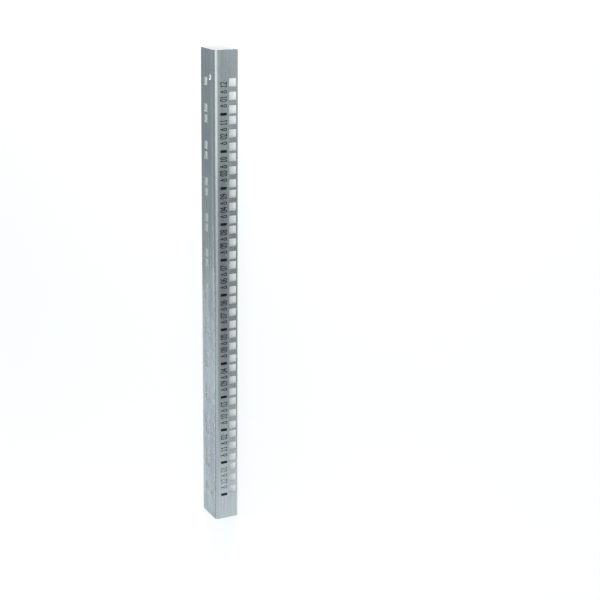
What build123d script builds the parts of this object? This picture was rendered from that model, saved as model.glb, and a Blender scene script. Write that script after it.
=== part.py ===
from build123d import *
from math import hypot
import os

# Rack mounting rail: one strip of zinc-coated steel sheet, punched and folded into an
# unequal angle, 12 rack units long. It lies as it rests by itself on a level floor, on
# its two free edges with the fold on top.
#
# Frame: millimetres, +Z up, origin at the centre of the bounding box's bottom face.
# +X runs along the rail from its lower end to its upper end. The equipment flange faces
# -Y and up, and the fixing flange faces +Y and up.

# --- driving dimensions -------------------------------------------------------------
RACK_UNIT = 44.45          # height of one rack unit
UNITS = 12                 # rack units on the rail
END_MARGIN = 32.0          # plain length beyond the first and last rack unit
LENGTH = UNITS * RACK_UNIT + 2 * END_MARGIN

FRONT_WIDTH = 30.0         # equipment flange, outside of the fold to the free edge
SIDE_DEPTH = 39.0          # fixing flange, outside of the fold to the free edge
THICKNESS = 1.2            # sheet
BEND_INNER_R = 3.2         # inside radius of the fold
BEND_OUTER_R = BEND_INNER_R + THICKNESS
EDGE_CORNER_R = 0.6        # rounding of the strip's four end corners

SQUARE = 9.5               # square hole for a cage nut
SQUARE_CORNER_R = 0.35     # rounding in the punched corners
HOLE_OFFSETS = (6.35, 22.225, 38.1)    # hole centres above the foot of a rack unit
FRONT_HOLE_X = 23.7        # hole centre line from the outside of the fold
SIDE_HOLE_Y = 25.7         # hole centre line from the outside of the fold

FIXING_D = 7.0             # round fixing hole at each end of the fixing flange
FIXING_Y = 12.8            # its centre from the outside of the fold
FIXING_END = 32.5          # its centre from the end of the rail

# --- section ------------------------------------------------------------------------
# Drawn upright first: x along the equipment flange, y along the fixing flange, z along
# the rail from its lower end, all from the outside corner of the fold.
with BuildSketch(Plane.XY) as section:
    with BuildLine():
        Line((FRONT_WIDTH, 0), (BEND_OUTER_R, 0))
        RadiusArc((BEND_OUTER_R, 0), (0, BEND_OUTER_R), BEND_OUTER_R)
        Line((0, BEND_OUTER_R), (0, SIDE_DEPTH))
        Line((0, SIDE_DEPTH), (THICKNESS, SIDE_DEPTH))
        Line((THICKNESS, SIDE_DEPTH), (THICKNESS, BEND_OUTER_R))
        RadiusArc((THICKNESS, BEND_OUTER_R), (BEND_OUTER_R, THICKNESS), -BEND_INNER_R)
        Line((BEND_OUTER_R, THICKNESS), (FRONT_WIDTH, THICKNESS))
        Line((FRONT_WIDTH, THICKNESS), (FRONT_WIDTH, 0))
    make_face()

rail = extrude(section.sketch, amount=LENGTH)

# The four end corners of the strip, at the free edges, have the small rounding of the
# shear. Each lies along y on the equipment flange and along x on the fixing flange.
end_corners = [
    e for e in rail.edges().filter_by(GeomType.LINE)
    if abs(e.length - THICKNESS) < 1e-6
]
rail = fillet(end_corners, EDGE_CORNER_R)

# --- hole positions -----------------------------------------------------------------
foot = END_MARGIN          # foot of the lowest rack unit
front_z = [foot + u * RACK_UNIT + h for u in range(UNITS) for h in HOLE_OFFSETS]
side_z = [foot + u * RACK_UNIT + h for u in range(UNITS) for h in (HOLE_OFFSETS[0], HOLE_OFFSETS[2])]
fixing_z = [FIXING_END, LENGTH - FIXING_END]

# --- cutters ------------------------------------------------------------------------
# Every hole goes straight through its flange and stops well short of the other one.
REACH = THICKNESS + 4.0
square_face = RectangleRounded(SQUARE, SQUARE, SQUARE_CORNER_R)
cutters = []
for z in front_z:
    at = Plane(origin=(FRONT_HOLE_X, -2.0, z), x_dir=(1, 0, 0), z_dir=(0, 1, 0))
    cutters.append(extrude(at * square_face, amount=REACH))
for z in side_z:
    at = Plane(origin=(-2.0, SIDE_HOLE_Y, z), x_dir=(0, 1, 0), z_dir=(1, 0, 0))
    cutters.append(extrude(at * square_face, amount=REACH))
for z in fixing_z:
    at = Plane(origin=(-2.0, FIXING_Y, z), x_dir=(0, 1, 0), z_dir=(1, 0, 0))
    cutters.append(extrude(at * Circle(FIXING_D / 2), amount=REACH))

rail = rail - cutters

# --- resting position ---------------------------------------------------------------
# The floor touches the inner edge of each flange's toe. The equipment flange then slopes
# at 52.7 degrees and the fixing flange at 37.3 degrees.
span = hypot(FRONT_WIDTH - THICKNESS, SIDE_DEPTH - THICKNESS)
lean_c = (SIDE_DEPTH - THICKNESS) / span
lean_s = (FRONT_WIDTH - THICKNESS) / span
lying = Plane(
    origin=(
        -LENGTH / 2,
        -(lean_c * SIDE_DEPTH - lean_s * FRONT_WIDTH) / 2,
        lean_c * FRONT_WIDTH + lean_s * THICKNESS,
    ),
    x_dir=(0, -lean_s, -lean_c),
    z_dir=(1, 0, 0),
)
mounting_rail = rail.solids()[0].moved(lying.location)

# --- export -------------------------------------------------------------------------
os.makedirs("parts", exist_ok=True)
mounting_rail.label = "mounting_rail"
export_step(mounting_rail, "parts/mounting_rail.step")

box = mounting_rail.bounding_box()
print("solids", len(rail.solids()))
print("volume_mm3", round(mounting_rail.volume, 1), "mass at 7.85 g/cm3, kg", round(mounting_rail.volume * 7.85e-6, 4))
print("box", [round(v, 3) for v in (*box.min, *box.max)])
print("centre of mass", [round(v, 3) for v in mounting_rail.center(CenterOf.MASS)])
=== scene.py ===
import math
import random

import bpy
from mathutils import Matrix, Vector


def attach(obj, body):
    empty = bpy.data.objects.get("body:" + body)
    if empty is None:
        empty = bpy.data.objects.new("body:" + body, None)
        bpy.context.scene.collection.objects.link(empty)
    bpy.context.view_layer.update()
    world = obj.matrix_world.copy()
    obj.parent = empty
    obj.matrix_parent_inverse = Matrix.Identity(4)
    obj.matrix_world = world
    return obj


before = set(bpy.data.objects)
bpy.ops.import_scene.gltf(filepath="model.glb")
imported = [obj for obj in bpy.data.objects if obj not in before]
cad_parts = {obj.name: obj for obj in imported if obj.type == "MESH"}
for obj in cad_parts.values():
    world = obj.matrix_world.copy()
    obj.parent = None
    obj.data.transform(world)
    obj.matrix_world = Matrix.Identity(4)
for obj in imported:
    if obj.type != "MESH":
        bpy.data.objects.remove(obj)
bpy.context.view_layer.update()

scene = bpy.context.scene
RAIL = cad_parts["mounting_rail"]

# The rail's own drawing axes, in millimetres from the outside corner of the fold at its
# lower end: x along the equipment flange, y along the fixing flange, z along the rail.
WIDTH, DEPTH, THICK, LENGTH = 30.0, 39.0, 1.2, 597.4
FOOT, UNIT, UNITS = 32.0, 44.45, 12
BEND_R = 4.4
SPAN = math.hypot(WIDTH - THICK, DEPTH - THICK)
LC, LS = (DEPTH - THICK) / SPAN, (WIDTH - THICK) / SPAN
TO_ROW = Matrix((
    (0, 0, 1, -LENGTH / 2),
    (-LS, LC, 0, -(LC * DEPTH - LS * WIDTH) / 2),
    (-LC, -LS, 0, LC * WIDTH + LS * THICK),
    (0, 0, 0, 1),
))
AXES = ((0, -LS, -LC), (0, LC, -LS), (1, 0, 0))


def row(x, y, z):
    """A point in the rail's drawing axes, in millimetres, as a point of the frame in metres."""
    return (TO_ROW @ Vector((x, y, z))) * 0.001


# --- camera -------------------------------------------------------------------------
cam_data = bpy.data.cameras.new("camera")
cam = bpy.data.objects.new("camera", cam_data)
scene.collection.objects.link(cam)
right = Vector((0.014936401, -0.907473198, -0.419844375))
up = Vector((0.958448920, 0.132623058, -0.252560472))
back = Vector((0.284872904, -0.398627043, 0.871747618))
m = Matrix((right, up, back)).transposed().to_4x4()
m.translation = Vector((0.454787269, -0.739857086, 1.379072999))
cam.matrix_world = m
cam_data.sensor_width = 36.0
cam_data.lens = 78.596
cam_data.clip_start, cam_data.clip_end = 0.05, 60.0
scene.camera = cam
scene.view_settings.view_transform = "Standard"
scene.view_settings.look = "None"


# --- node helpers -------------------------------------------------------------------
class Nodes:
    def __init__(self, name):
        self.mat = bpy.data.materials.new(name)
        self.mat.use_nodes = True
        self.tree = self.mat.node_tree
        self.tree.nodes.clear()
        self.out = self.new("ShaderNodeOutputMaterial")

    def new(self, kind, **settings):
        n = self.tree.nodes.new(kind)
        for k, v in settings.items():
            setattr(n, k, v)
        return n

    def link(self, a, b):
        self.tree.links.new(a, b)

    def put(self, socket, value):
        if isinstance(value, bpy.types.NodeSocket):
            self.link(value, socket)
        elif value is not None:
            socket.default_value = value

    def math(self, op, a, b=None, c=None, clamp=False):
        n = self.new("ShaderNodeMath", operation=op, use_clamp=clamp)
        for s, v in zip(n.inputs, (a, b, c)):
            self.put(s, v)
        return n.outputs[0]

    def add(self, *v):
        out = v[0]
        for w in v[1:]:
            out = self.math("ADD", out, w)
        return out

    def mul(self, *v):
        out = v[0]
        for w in v[1:]:
            out = self.math("MULTIPLY", out, w)
        return out

    def smooth(self, v, lo, hi, a=0.0, b=1.0):
        """v from lo to hi becomes a to b, smoothly, and stays there outside."""
        n = self.new("ShaderNodeMapRange", interpolation_type="SMOOTHSTEP", clamp=True)
        for s, x in zip(n.inputs, (v, lo, hi, a, b)):
            self.put(s, x)
        return n.outputs[0]

    def linear(self, v, lo, hi, a=0.0, b=1.0):
        n = self.new("ShaderNodeMapRange", interpolation_type="LINEAR", clamp=True)
        for s, x in zip(n.inputs, (v, lo, hi, a, b)):
            self.put(s, x)
        return n.outputs[0]

    def band(self, v, lo, hi, soft):
        """1 between lo and hi, falling to 0 over soft outside of each."""
        return self.mul(self.smooth(v, lo - soft, lo), self.smooth(v, hi, hi + soft, 1.0, 0.0))

    def noise(self, vector, scale=1.0, detail=2.0, roughness=0.5, distortion=0.0):
        n = self.new("ShaderNodeTexNoise", noise_dimensions="3D")
        self.put(n.inputs["Vector"], vector)
        n.inputs["Scale"].default_value = scale
        n.inputs["Detail"].default_value = detail
        n.inputs["Roughness"].default_value = roughness
        n.inputs["Distortion"].default_value = distortion
        return n.outputs["Fac"]

    def combine(self, x, y, z):
        n = self.new("ShaderNodeCombineXYZ")
        for s, v in zip(n.inputs, (x, y, z)):
            self.put(s, v)
        return n.outputs[0]

    def mix(self, fac, a, b):
        n = self.new("ShaderNodeMix", data_type="RGBA")
        self.put(n.inputs[0], fac)
        self.put(n.inputs[6], a)
        self.put(n.inputs[7], b)
        return n.outputs[2]

    def scale(self, colour, fac):
        n = self.new("ShaderNodeVectorMath", operation="SCALE")
        self.put(n.inputs[0], colour)
        self.put(n.inputs[3], fac)
        return n.outputs[0]

    def dot(self, v, axis):
        n = self.new("ShaderNodeVectorMath", operation="DOT_PRODUCT")
        self.put(n.inputs[0], v)
        n.inputs[1].default_value = axis
        return n.outputs["Value"]


def rail_axes(k):
    """x, y, z of the rail's drawing axes in millimetres."""
    tc = k.new("ShaderNodeTexCoord")
    sub = k.new("ShaderNodeVectorMath", operation="SUBTRACT")
    k.link(tc.outputs["Object"], sub.inputs[0])
    sub.inputs[1].default_value = row(0, 0, 0)
    return [k.dot(sub.outputs[0], Vector(a) * 1000.0) for a in AXES]


def rail_normal(k):
    """The face normal's parts along the rail's drawing axes, without sign."""
    g = k.new("ShaderNodeNewGeometry")
    return [k.math("ABSOLUTE", k.dot(g.outputs["True Normal"], Vector(a))) for a in AXES]


# --- zinc-coated sheet steel ----------------------------------------------------------
ZINC = (0.347, 0.395, 0.416)


def zinc():
    k = Nodes("zinc_steel")
    x, y, z = rail_axes(k)
    nx, ny, nz = rail_normal(k)
    across = k.math("SUBTRACT", x, y)          # 0 on the fold's corner, + on the equipment flange

    # where the surface is the rolled skin of the sheet, and where it is a cut through it
    flat_e = k.mul(k.smooth(ny, 0.35, 0.75), k.smooth(x, 4.1, 4.5))
    flat_f = k.mul(k.smooth(nx, 0.35, 0.75), k.smooth(y, 4.1, 4.5))
    fold = k.mul(k.smooth(x, 4.3, 4.7, 1.0, 0.0), k.smooth(y, 4.3, 4.7, 1.0, 0.0),
                 k.smooth(nz, 0.25, 0.6, 1.0, 0.0))
    skin = k.math("MAXIMUM", k.math("MAXIMUM", flat_e, flat_f), fold)
    cut = k.math("SUBTRACT", 1.0, skin)

    # rolling streaks: long along the rail, fine across it
    broad = k.noise(k.combine(k.mul(across, 0.16), k.mul(z, 0.0022), 3.1), 1.0, 1.0)
    mid = k.noise(k.combine(k.mul(across, 0.62), k.mul(z, 0.0040), 11.7), 1.0, 2.0, 0.55)
    fine = k.noise(k.combine(k.mul(across, 3.1), k.mul(z, 0.013), 23.5), 1.0, 2.0, 0.6)
    hair = k.noise(k.combine(k.mul(across, 13.0), k.mul(z, 0.060), 5.9), 1.0, 1.0, 0.6)
    # the coating's own cloudiness
    cloud = k.noise(k.combine(k.mul(x, 0.045), k.mul(y, 0.045), k.mul(z, 0.018)), 1.0, 3.0, 0.55)
    mottle = k.noise(k.combine(k.mul(x, 0.33), k.mul(y, 0.33), k.mul(z, 0.16)), 1.0, 3.0, 0.6)
    grain = k.noise(k.combine(k.mul(x, 4.0), k.mul(y, 4.0), k.mul(z, 2.2)), 1.0, 2.0, 0.6)

    tone = k.add(
        1.0,
        k.linear(broad, 0.25, 0.75, -0.060, 0.060),
        k.linear(mid, 0.25, 0.75, -0.090, 0.090),
        k.linear(fine, 0.25, 0.75, -0.022, 0.022),
        k.linear(hair, 0.25, 0.75, -0.013, 0.013),
        k.linear(cloud, 0.28, 0.72, -0.045, 0.045),
        k.linear(mottle, 0.28, 0.72, -0.020, 0.020),
        k.linear(grain, 0.25, 0.75, -0.010, 0.010),
    )
    # colour wanders a little between bluish and greenish grey
    hue = k.smooth(k.add(k.mul(cloud, 0.6), k.mul(mid, 0.4)), 0.36, 0.64)
    colour = k.mix(hue, (ZINC[0] * 1.010, ZINC[1] * 0.985, ZINC[2] * 1.030, 1),
                   (ZINC[0] * 0.990, ZINC[1] * 1.015, ZINC[2] * 0.975, 1))
    # painted shade: a dull dark line beside the fold, strongest towards the lower end; painted highlight: a lighter
    # strip next to it that fades towards the lower end; the slit edges of the strip are painted a little lighter too,
    # as a highlight
    painted_shade_line = k.mul(k.band(y, 3.3, 5.2, 0.35), k.smooth(z, 270, 340, 1.0, 0.12))
    # painted shade: the same line a shade darker again towards the upper end
    painted_shade_line_head = k.mul(k.band(y, 3.2, 4.6, 0.5), k.smooth(z, 420, 470))
    # painted highlight: a lighter strip beside the dark line, fading towards the lower end and partly towards the
    # upper end
    painted_highlight_strip = k.mul(k.band(y, 5.6, 8.2, 1.2), k.smooth(z, 290, 350), k.smooth(z, 520, 570, 1.0, 0.4))
    # painted highlight on the fold's crest, towards the lower end
    painted_fold_highlight = k.mul(fold, k.band(y, 1.3, 3.1, 0.4), k.smooth(z, 200, 270, 1.0, 0.0))
    # painted highlight along both flanges' free edges, on the fixing flange towards the lower end
    painted_edge_highlight = k.add(k.mul(k.smooth(y, 34.0, 37.0), k.smooth(z, 420, 480, 1.0, 0.0)), k.smooth(x, 27.9, 29.3))
    # a band between the print and the square holes is a little lighter along the middle of the rail
    streak = k.mul(k.band(x, 15.6, 18.4, 1.2), k.band(z, 230, 420, 60))
    # the printed column is a shade darker; painted shade darkens the equipment flange's middle
    # and the fixing flange's upper part
    column = k.mul(k.band(x, 8.6, 14.2, 1.6), k.smooth(z, 150, 260), k.smooth(ny, 0.35, 0.75))
    middle = k.mul(k.add(k.mul(k.band(y, 12.0, 26.0, 3.0), 0.25), k.mul(flat_f, 0.75)), k.smooth(z, 420, 480))
    painted_shade_waist = k.mul(flat_e, k.band(z, 300, 430, 60))
    tone = k.mul(tone, k.linear(painted_shade_waist, 0, 1, 1.0, 0.93),
                 k.linear(painted_shade_line, 0, 1, 1.0, 0.64), k.linear(painted_highlight_strip, 0, 1, 1.0, 1.22),
                 k.linear(painted_fold_highlight, 0, 1, 1.0, 1.15), k.linear(painted_shade_line_head, 0, 1, 1.0, 0.87),
                 k.linear(column, 0, 1, 1.0, 0.90), k.linear(middle, 0, 1, 1.0, 0.90),
                 k.linear(painted_edge_highlight, 0, 1, 1.0, 1.09), k.linear(streak, 0, 1, 1.0, 1.04))
    colour = k.scale(colour, tone)

    # scuffs from handling: thin, mostly lengthwise, few
    scuff_field = k.noise(k.combine(k.mul(across, 2.6), k.mul(z, 0.11), k.mul(z, 0.004)), 1.0, 3.0, 0.7, 0.4)
    scuff = k.mul(k.smooth(scuff_field, 0.665, 0.72), k.smooth(mottle, 0.45, 0.60))

    # sheared faces: burnished where the punch entered, dull and torn below
    depth_e = k.mul(k.smooth(x, 4.1, 4.5), y)
    depth_f = k.mul(k.smooth(y, 4.1, 4.5), x)
    off_x, off_y = k.math("MAXIMUM", k.math("SUBTRACT", BEND_R, x), 0.0), k.math("MAXIMUM", k.math("SUBTRACT", BEND_R, y), 0.0)
    in_bend = k.mul(k.math("GREATER_THAN", off_x, 0.0), k.math("GREATER_THAN", off_y, 0.0))
    reach = k.math("SQRT", k.add(k.mul(off_x, off_x), k.mul(off_y, off_y)))
    depth_b = k.mul(in_bend, k.math("SUBTRACT", BEND_R, reach))
    depth = k.math("MAXIMUM", k.math("MAXIMUM", depth_e, depth_f), depth_b)
    ragged = k.noise(k.combine(k.mul(x, 1.1), k.mul(y, 1.1), k.mul(z, 1.1)), 1.0, 2.0)
    torn = k.smooth(k.add(depth, k.linear(ragged, 0.2, 0.8, -0.18, 0.18)), 0.50, 0.66)
    shear = k.noise(k.combine(k.mul(across, 6.0), k.mul(depth, 0.5), k.mul(z, 6.0)), 1.0, 2.0, 0.6)
    cut_tone = k.mul(k.linear(torn, 0, 1, 0.98, 0.84), k.linear(shear, 0.25, 0.75, 0.92, 1.08))
    cut_colour = k.scale(k.mix(torn, (0.70, 0.735, 0.75, 1), (0.66, 0.68, 0.685, 1)), cut_tone)

    colour = k.mix(k.mul(scuff, 0.35), colour, (0.60, 0.64, 0.66, 1))
    colour = k.mix(cut, colour, cut_colour)

    rough = k.add(
        0.285,
        k.linear(cloud, 0.28, 0.72, -0.025, 0.025),
        k.linear(mid, 0.25, 0.75, 0.030, -0.030),
        k.linear(fine, 0.25, 0.75, -0.030, 0.030),
        k.linear(mottle, 0.28, 0.72, -0.020, 0.020),
        k.mul(scuff, -0.06),
    )
    rough = k.mix(cut, rough, k.linear(torn, 0, 1, 0.50, 0.72))

    # height, in millimetres
    height = k.add(
        k.mul(fine, 0.0004), k.mul(hair, 0.0001), k.mul(mid, 0.0018), k.mul(grain, 0.0001),
        k.mul(mottle, 0.0010), k.mul(scuff, -0.0006),
    )
    height = k.mul(height, k.linear(fold, 0, 1, 1.0, 0.3))
    height = k.mix(cut, height, k.add(k.mul(shear, 0.004), k.mul(torn, -0.006)))
    bump = k.new("ShaderNodeBump")
    bump.inputs["Strength"].default_value = 1.0
    bump.inputs["Distance"].default_value = 0.001
    k.link(height, bump.inputs["Height"])

    bsdf = k.new("ShaderNodeBsdfPrincipled")
    k.link(bsdf.outputs[0], k.out.inputs[0])
    k.link(colour, bsdf.inputs["Base Color"])
    bsdf.inputs["Metallic"].default_value = 1.0
    bsdf.inputs["Specular Tint"].default_value = (0.20, 0.20, 0.20, 1)
    bsdf.inputs["Anisotropic"].default_value = 0.3
    k.link(rough, bsdf.inputs["Roughness"])
    k.link(bump.outputs[0], bsdf.inputs["Normal"])
    # the rolling marks run along the rail, so the gloss spreads across them; on a face
    # square to the rail the shear's marks run through the sheet instead
    square_on = k.math("GREATER_THAN", nz, 0.7)
    along = k.mix(square_on, (*AXES[2], 1), (AXES[0][0] + AXES[1][0], AXES[0][1] + AXES[1][1], AXES[0][2] + AXES[1][2], 1))
    geometry = k.new("ShaderNodeNewGeometry")
    spread = k.new("ShaderNodeVectorMath", operation="CROSS_PRODUCT")
    k.link(geometry.outputs["Normal"], spread.inputs[0])
    k.link(along, spread.inputs[1])
    k.link(spread.outputs[0], bsdf.inputs["Tangent"])
    return k.mat


RAIL.data.materials[0] = zinc()

# --- printed marks --------------------------------------------------------------------
FONT = {
    "0": ("01110", "10001", "10001", "10001", "10001", "10001", "01110"),
    "1": ("00100", "01100", "00100", "00100", "00100", "00100", "01110"),
    "2": ("01110", "10001", "00001", "00010", "00100", "01000", "11111"),
    "3": ("11111", "00010", "00100", "00010", "00001", "10001", "01110"),
    "4": ("00010", "00110", "01010", "10010", "11111", "00010", "00010"),
    "5": ("11111", "10000", "11110", "00001", "00001", "10001", "01110"),
    "6": ("00110", "01000", "10000", "11110", "10001", "10001", "01110"),
    "7": ("11111", "00001", "00010", "00100", "01000", "01000", "01000"),
    "8": ("01110", "10001", "10001", "01110", "10001", "10001", "01110"),
    "9": ("01110", "10001", "10001", "01111", "00001", "00010", "01100"),
    "^": ("001100", "001100", "011110", "010010", "110011", "100001", "111111"),
}
DOT_ROW, DOT_COLUMN = 1.25, 0.584      # pitch of the printed dots along x and along z
DOT_TOP = 7.70                         # x of the top row of dots


class Print:
    """Thin closed patches of ink on the outside of the equipment flange."""

    def __init__(self):
        self.verts, self.faces = [], []

    def patch(self, outline, rise, sink=0.012):
        """outline: points (x, z) in order; the ink stands rise above the face, in millimetres."""
        n, s = len(outline), len(self.verts)
        self.verts += [row(px, -rise, pz) for px, pz in outline]
        self.verts += [row(px, sink, pz) for px, pz in outline]
        area = sum(a[0] * b[1] - b[0] * a[1] for a, b in zip(outline, outline[1:] + outline[:1]))
        top, bottom = [s + i for i in range(n)], [s + n + i for i in range(n)]
        if area > 0:
            top.reverse(), bottom.reverse()
        self.faces.append(tuple(reversed(top)))
        self.faces.append(tuple(bottom))
        for i in range(n):
            j = (i + 1) % n
            self.faces.append((top[i], top[j], bottom[j], bottom[i]))

    def piece(self, name, material):
        mesh = bpy.data.meshes.new(name)
        mesh.from_pydata(self.verts, [], self.faces)
        mesh.materials.append(material)
        o = bpy.data.objects.new(name, mesh)
        scene.collection.objects.link(o)
        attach(o, "root")
        return o


def ink(name, dark, worn, patchy):
    """Black ink on metal: thin where the sheet's streaks stand proud."""
    k = Nodes(name)
    x, y, z = rail_axes(k)
    streak = k.noise(k.combine(k.mul(x, 2.4), k.mul(z, 0.30), 7.7), 1.0, 3.0, 0.6)
    speck = k.noise(k.combine(k.mul(x, 3.3), k.mul(z, 3.3), 1.3), 1.0, 3.0, 0.65)
    wear = k.smooth(k.add(k.mul(streak, 0.55), k.mul(speck, 0.45)), 0.62 - patchy, 0.70)
    bsdf = k.new("ShaderNodeBsdfPrincipled")
    k.link(bsdf.outputs[0], k.out.inputs[0])
    k.link(k.mix(wear, (*dark, 1), (*worn, 1)), bsdf.inputs["Base Color"])
    k.link(k.linear(speck, 0.3, 0.7, 0.50, 0.68), bsdf.inputs["Roughness"])
    bsdf.inputs["Specular IOR Level"].default_value = 0.12
    bump = k.new("ShaderNodeBump")
    bump.inputs["Strength"].default_value = 0.6
    bump.inputs["Distance"].default_value = 0.001
    k.link(k.mul(speck, 0.010), bump.inputs["Height"])
    k.link(bump.outputs[0], bsdf.inputs["Normal"])
    return k.mat


rng = random.Random(1209)

dashes = Print()
for n in range(UNITS):
    cx, cz = 11.55 + rng.uniform(-0.10, 0.10), FOOT + UNIT * n + 1.15 + rng.uniform(-0.08, 0.08)
    half_x, half_z, corner = 4.30 + rng.uniform(-0.08, 0.08), 1.72 + rng.uniform(-0.05, 0.05), 0.60
    outline = []
    for qx, qz, start in ((1, 1, 0), (-1, 1, 90), (-1, -1, 180), (1, -1, 270)):
        for step in range(7):
            a = math.radians(start + step * 15)
            outline.append((cx + qx * (half_x - corner) + corner * math.cos(a),
                            cz + qz * (half_z - corner) + corner * math.sin(a)))
    full = []
    for a, b in zip(outline, outline[1:] + outline[:1]):
        parts = max(1, int(math.dist(a, b) / 0.45))
        full += [(a[0] + (b[0] - a[0]) * i / parts, a[1] + (b[1] - a[1]) * i / parts) for i in range(parts)]
    phase = rng.uniform(0, 6.28)
    wavy = []
    for i, (px, pz) in enumerate(full):
        d = 0.030 * math.sin(i * 0.9 + phase) + 0.022 * math.sin(i * 2.3 + 2 * phase) + rng.uniform(-0.018, 0.018)
        r = math.hypot((px - cx) / half_x, (pz - cz) / half_z)
        wavy.append((px + d * (px - cx) / half_x / r, pz + d * (pz - cz) / half_z / r))
    dashes.patch(wavy, 0.028)
dashes.piece("unit_dashes", ink("ink_solid", (0.005, 0.006, 0.007), (0.024, 0.027, 0.028), 0.0))

# each unit carries its number counted from either end, each after a small triangle
STRENGTH = (0.66, 1.06, 0.94, 1.16, 1.06, 1.10, 1.12, 1.24, 1.20, 1.30, 1.18, 1.02)
numbers = Print()
for n in range(UNITS):
    top = FOOT + UNIT * (n + 1)
    groups = ((f"{n + 1:02d}", top - 11.66), ("^", top - 18.51), (f"{UNITS - n:02d}", top - 28.16), ("^", top - 34.91))
    for text, z0 in groups:
        column = 0
        for glyph in text:
            rows = FONT[glyph]
            for r, bits in enumerate(rows):
                for c, bit in enumerate(bits):
                    if bit == "0":
                        continue
                    px = DOT_TOP + r * DOT_ROW + rng.uniform(-0.04, 0.04)
                    pz = z0 + (column + c) * DOT_COLUMN + rng.uniform(-0.02, 0.02)
                    s = STRENGTH[n] * rng.uniform(0.95, 1.03) * (0.66 if text == "^" else 1.0)
                    ax, az = 0.75 * (0.6 + 0.4 * s), 0.41 * (0.35 + 0.65 * s)
                    outline = []
                    for i in range(16):
                        a = 2 * math.pi * i / 16
                        w = 1 + rng.uniform(-0.025, 0.025)
                        ca, sa = math.cos(a), math.sin(a)
                        outline.append((px + ax * w * math.copysign(abs(ca) ** 0.6, ca),
                                        pz + az * w * math.copysign(abs(sa) ** 0.6, sa)))
                    numbers.patch(outline, 0.016 + rng.uniform(0, 0.010))
            column += len(rows[0]) + 1
numbers.piece("unit_numbers", ink("ink_dots", (0.007, 0.009, 0.010), (0.045, 0.050, 0.052), 0.06))

# --- floor and light ----------------------------------------------------------------
GAIN = {"world": 0.4, "glow": 0.293, "overhead": 1.948, "overhead_low": 1.022, "overhead_mid": 0.607, "overhead_foot": 0.733, "side_foot": 6.595, "side_head": 0.405, "front_head": 0.384, "front_low": 0.124, "front_foot": 1.199, "fill": 0.0, "fill_foot": 1.552, "pool": 0.489, "mouth": 105.0, "side_turn": 0.008}


def floor_material():
    """A pale table top, softly lit from below."""
    k = Nodes("floor_pale")
    bsdf = k.new("ShaderNodeBsdfPrincipled")
    bsdf.inputs["Base Color"].default_value = (0.665, 0.660, 0.655, 1)
    bsdf.inputs["Roughness"].default_value = 0.9
    bsdf.inputs["Specular IOR Level"].default_value = 0.0
    bsdf.inputs["Emission Color"].default_value = (0.915, 1.01, 1.06, 1)
    bsdf.inputs["Emission Strength"].default_value = GAIN["glow"]
    k.link(bsdf.outputs[0], k.out.inputs[0])
    return k.mat


bpy.ops.mesh.primitive_plane_add(size=30.0, location=(0, 0, 0))
floor = bpy.context.object
floor.name = "floor"
floor.data.materials.append(floor_material())

world = bpy.data.worlds.new("world")
scene.world = world
world.use_nodes = True
world.node_tree.nodes["Background"].inputs[0].default_value = (0.97, 0.99, 1.0, 1)
world.node_tree.nodes["Background"].inputs[1].default_value = GAIN["world"]


def panel(name, distance, x, tilt, colour=(1, 1, 1)):
    """An evenly lit panel that faces the rail. x: from and to, along the rail, in metres.
    tilt: from and to, in degrees from the zenith towards +Y, seen from the rail's middle."""
    a0, a1 = (math.radians(v) for v in tilt)
    mid, half = (a0 + a1) / 2, (a1 - a0) / 2
    data = bpy.data.lights.new(name, "AREA")
    data.shape = "RECTANGLE"
    data.size, data.size_y = x[1] - x[0], 2 * distance * math.tan(half)
    data.energy = GAIN[name] * data.size * data.size_y * math.pi
    data.color = colour
    o = bpy.data.objects.new(name, data)
    scene.collection.objects.link(o)
    n = Vector((0, math.sin(mid), math.cos(mid)))
    turn = Matrix(((1, 0, 0), n.cross(Vector((1, 0, 0))), n)).transposed().to_4x4()
    turn.translation = n * distance + Vector(((x[0] + x[1]) / 2, 0, 0))
    o.matrix_world = turn
    o.visible_camera = False
    return o


panel("overhead", 1.5, (-0.15, 0.40), (-46, 17), (1.0, 0.97, 0.94))
panel("overhead_low", 1.4, (-0.15, 0.40), (-70, -46), (1.0, 0.97, 0.94))
panel("overhead_mid", 1.4, (-0.45, -0.15), (-65, 10))
panel("overhead_foot", 1.3, (-1.3, -0.45), (-60, 30))
panel("side_foot", 1.0, (-1.20, -0.25), (76, 89.5))
panel("side_turn", 1.0, (-1.20, -0.25), (32, 76))
panel("side_head", 1.0, (-0.15, 0.80), (50, 80))
panel("front_head", 1.0, (0.10, 0.60), (-88, -66))
panel("front_low", 1.0, (-0.62, -0.40), (-89, -66))
panel("front_foot", 1.0, (-1.20, -0.62), (-89, -62))


def lamp(name, at, look, size):
    """A panel for the floor, out of the way of what the flanges mirror towards the camera."""
    o = panel(name, 1.0, (-size[0] / 2, size[0] / 2), (-math.degrees(math.atan(size[1] / 2)), math.degrees(math.atan(size[1] / 2))))
    turn = (Vector(at) - Vector(look)).to_track_quat("Z", "Y").to_matrix().to_4x4()
    turn.translation = at
    o.matrix_world = turn


lamp("fill", (1.45, 0.0, 0.95), (0, 0, 0), (1.4, 1.2))
lamp("mouth", (0.90, 0.0, 0.11), (0.28, 0.0, 0.0), (0.30, 0.12))
lamp("fill_foot", (-1.65, 0.0, 0.80), (-0.1, 0, 0), (1.4, 1.0))
lamp("pool", (-0.62, 0.0, 0.32), (-0.32, 0.0, 0.0), (0.7, 0.3))
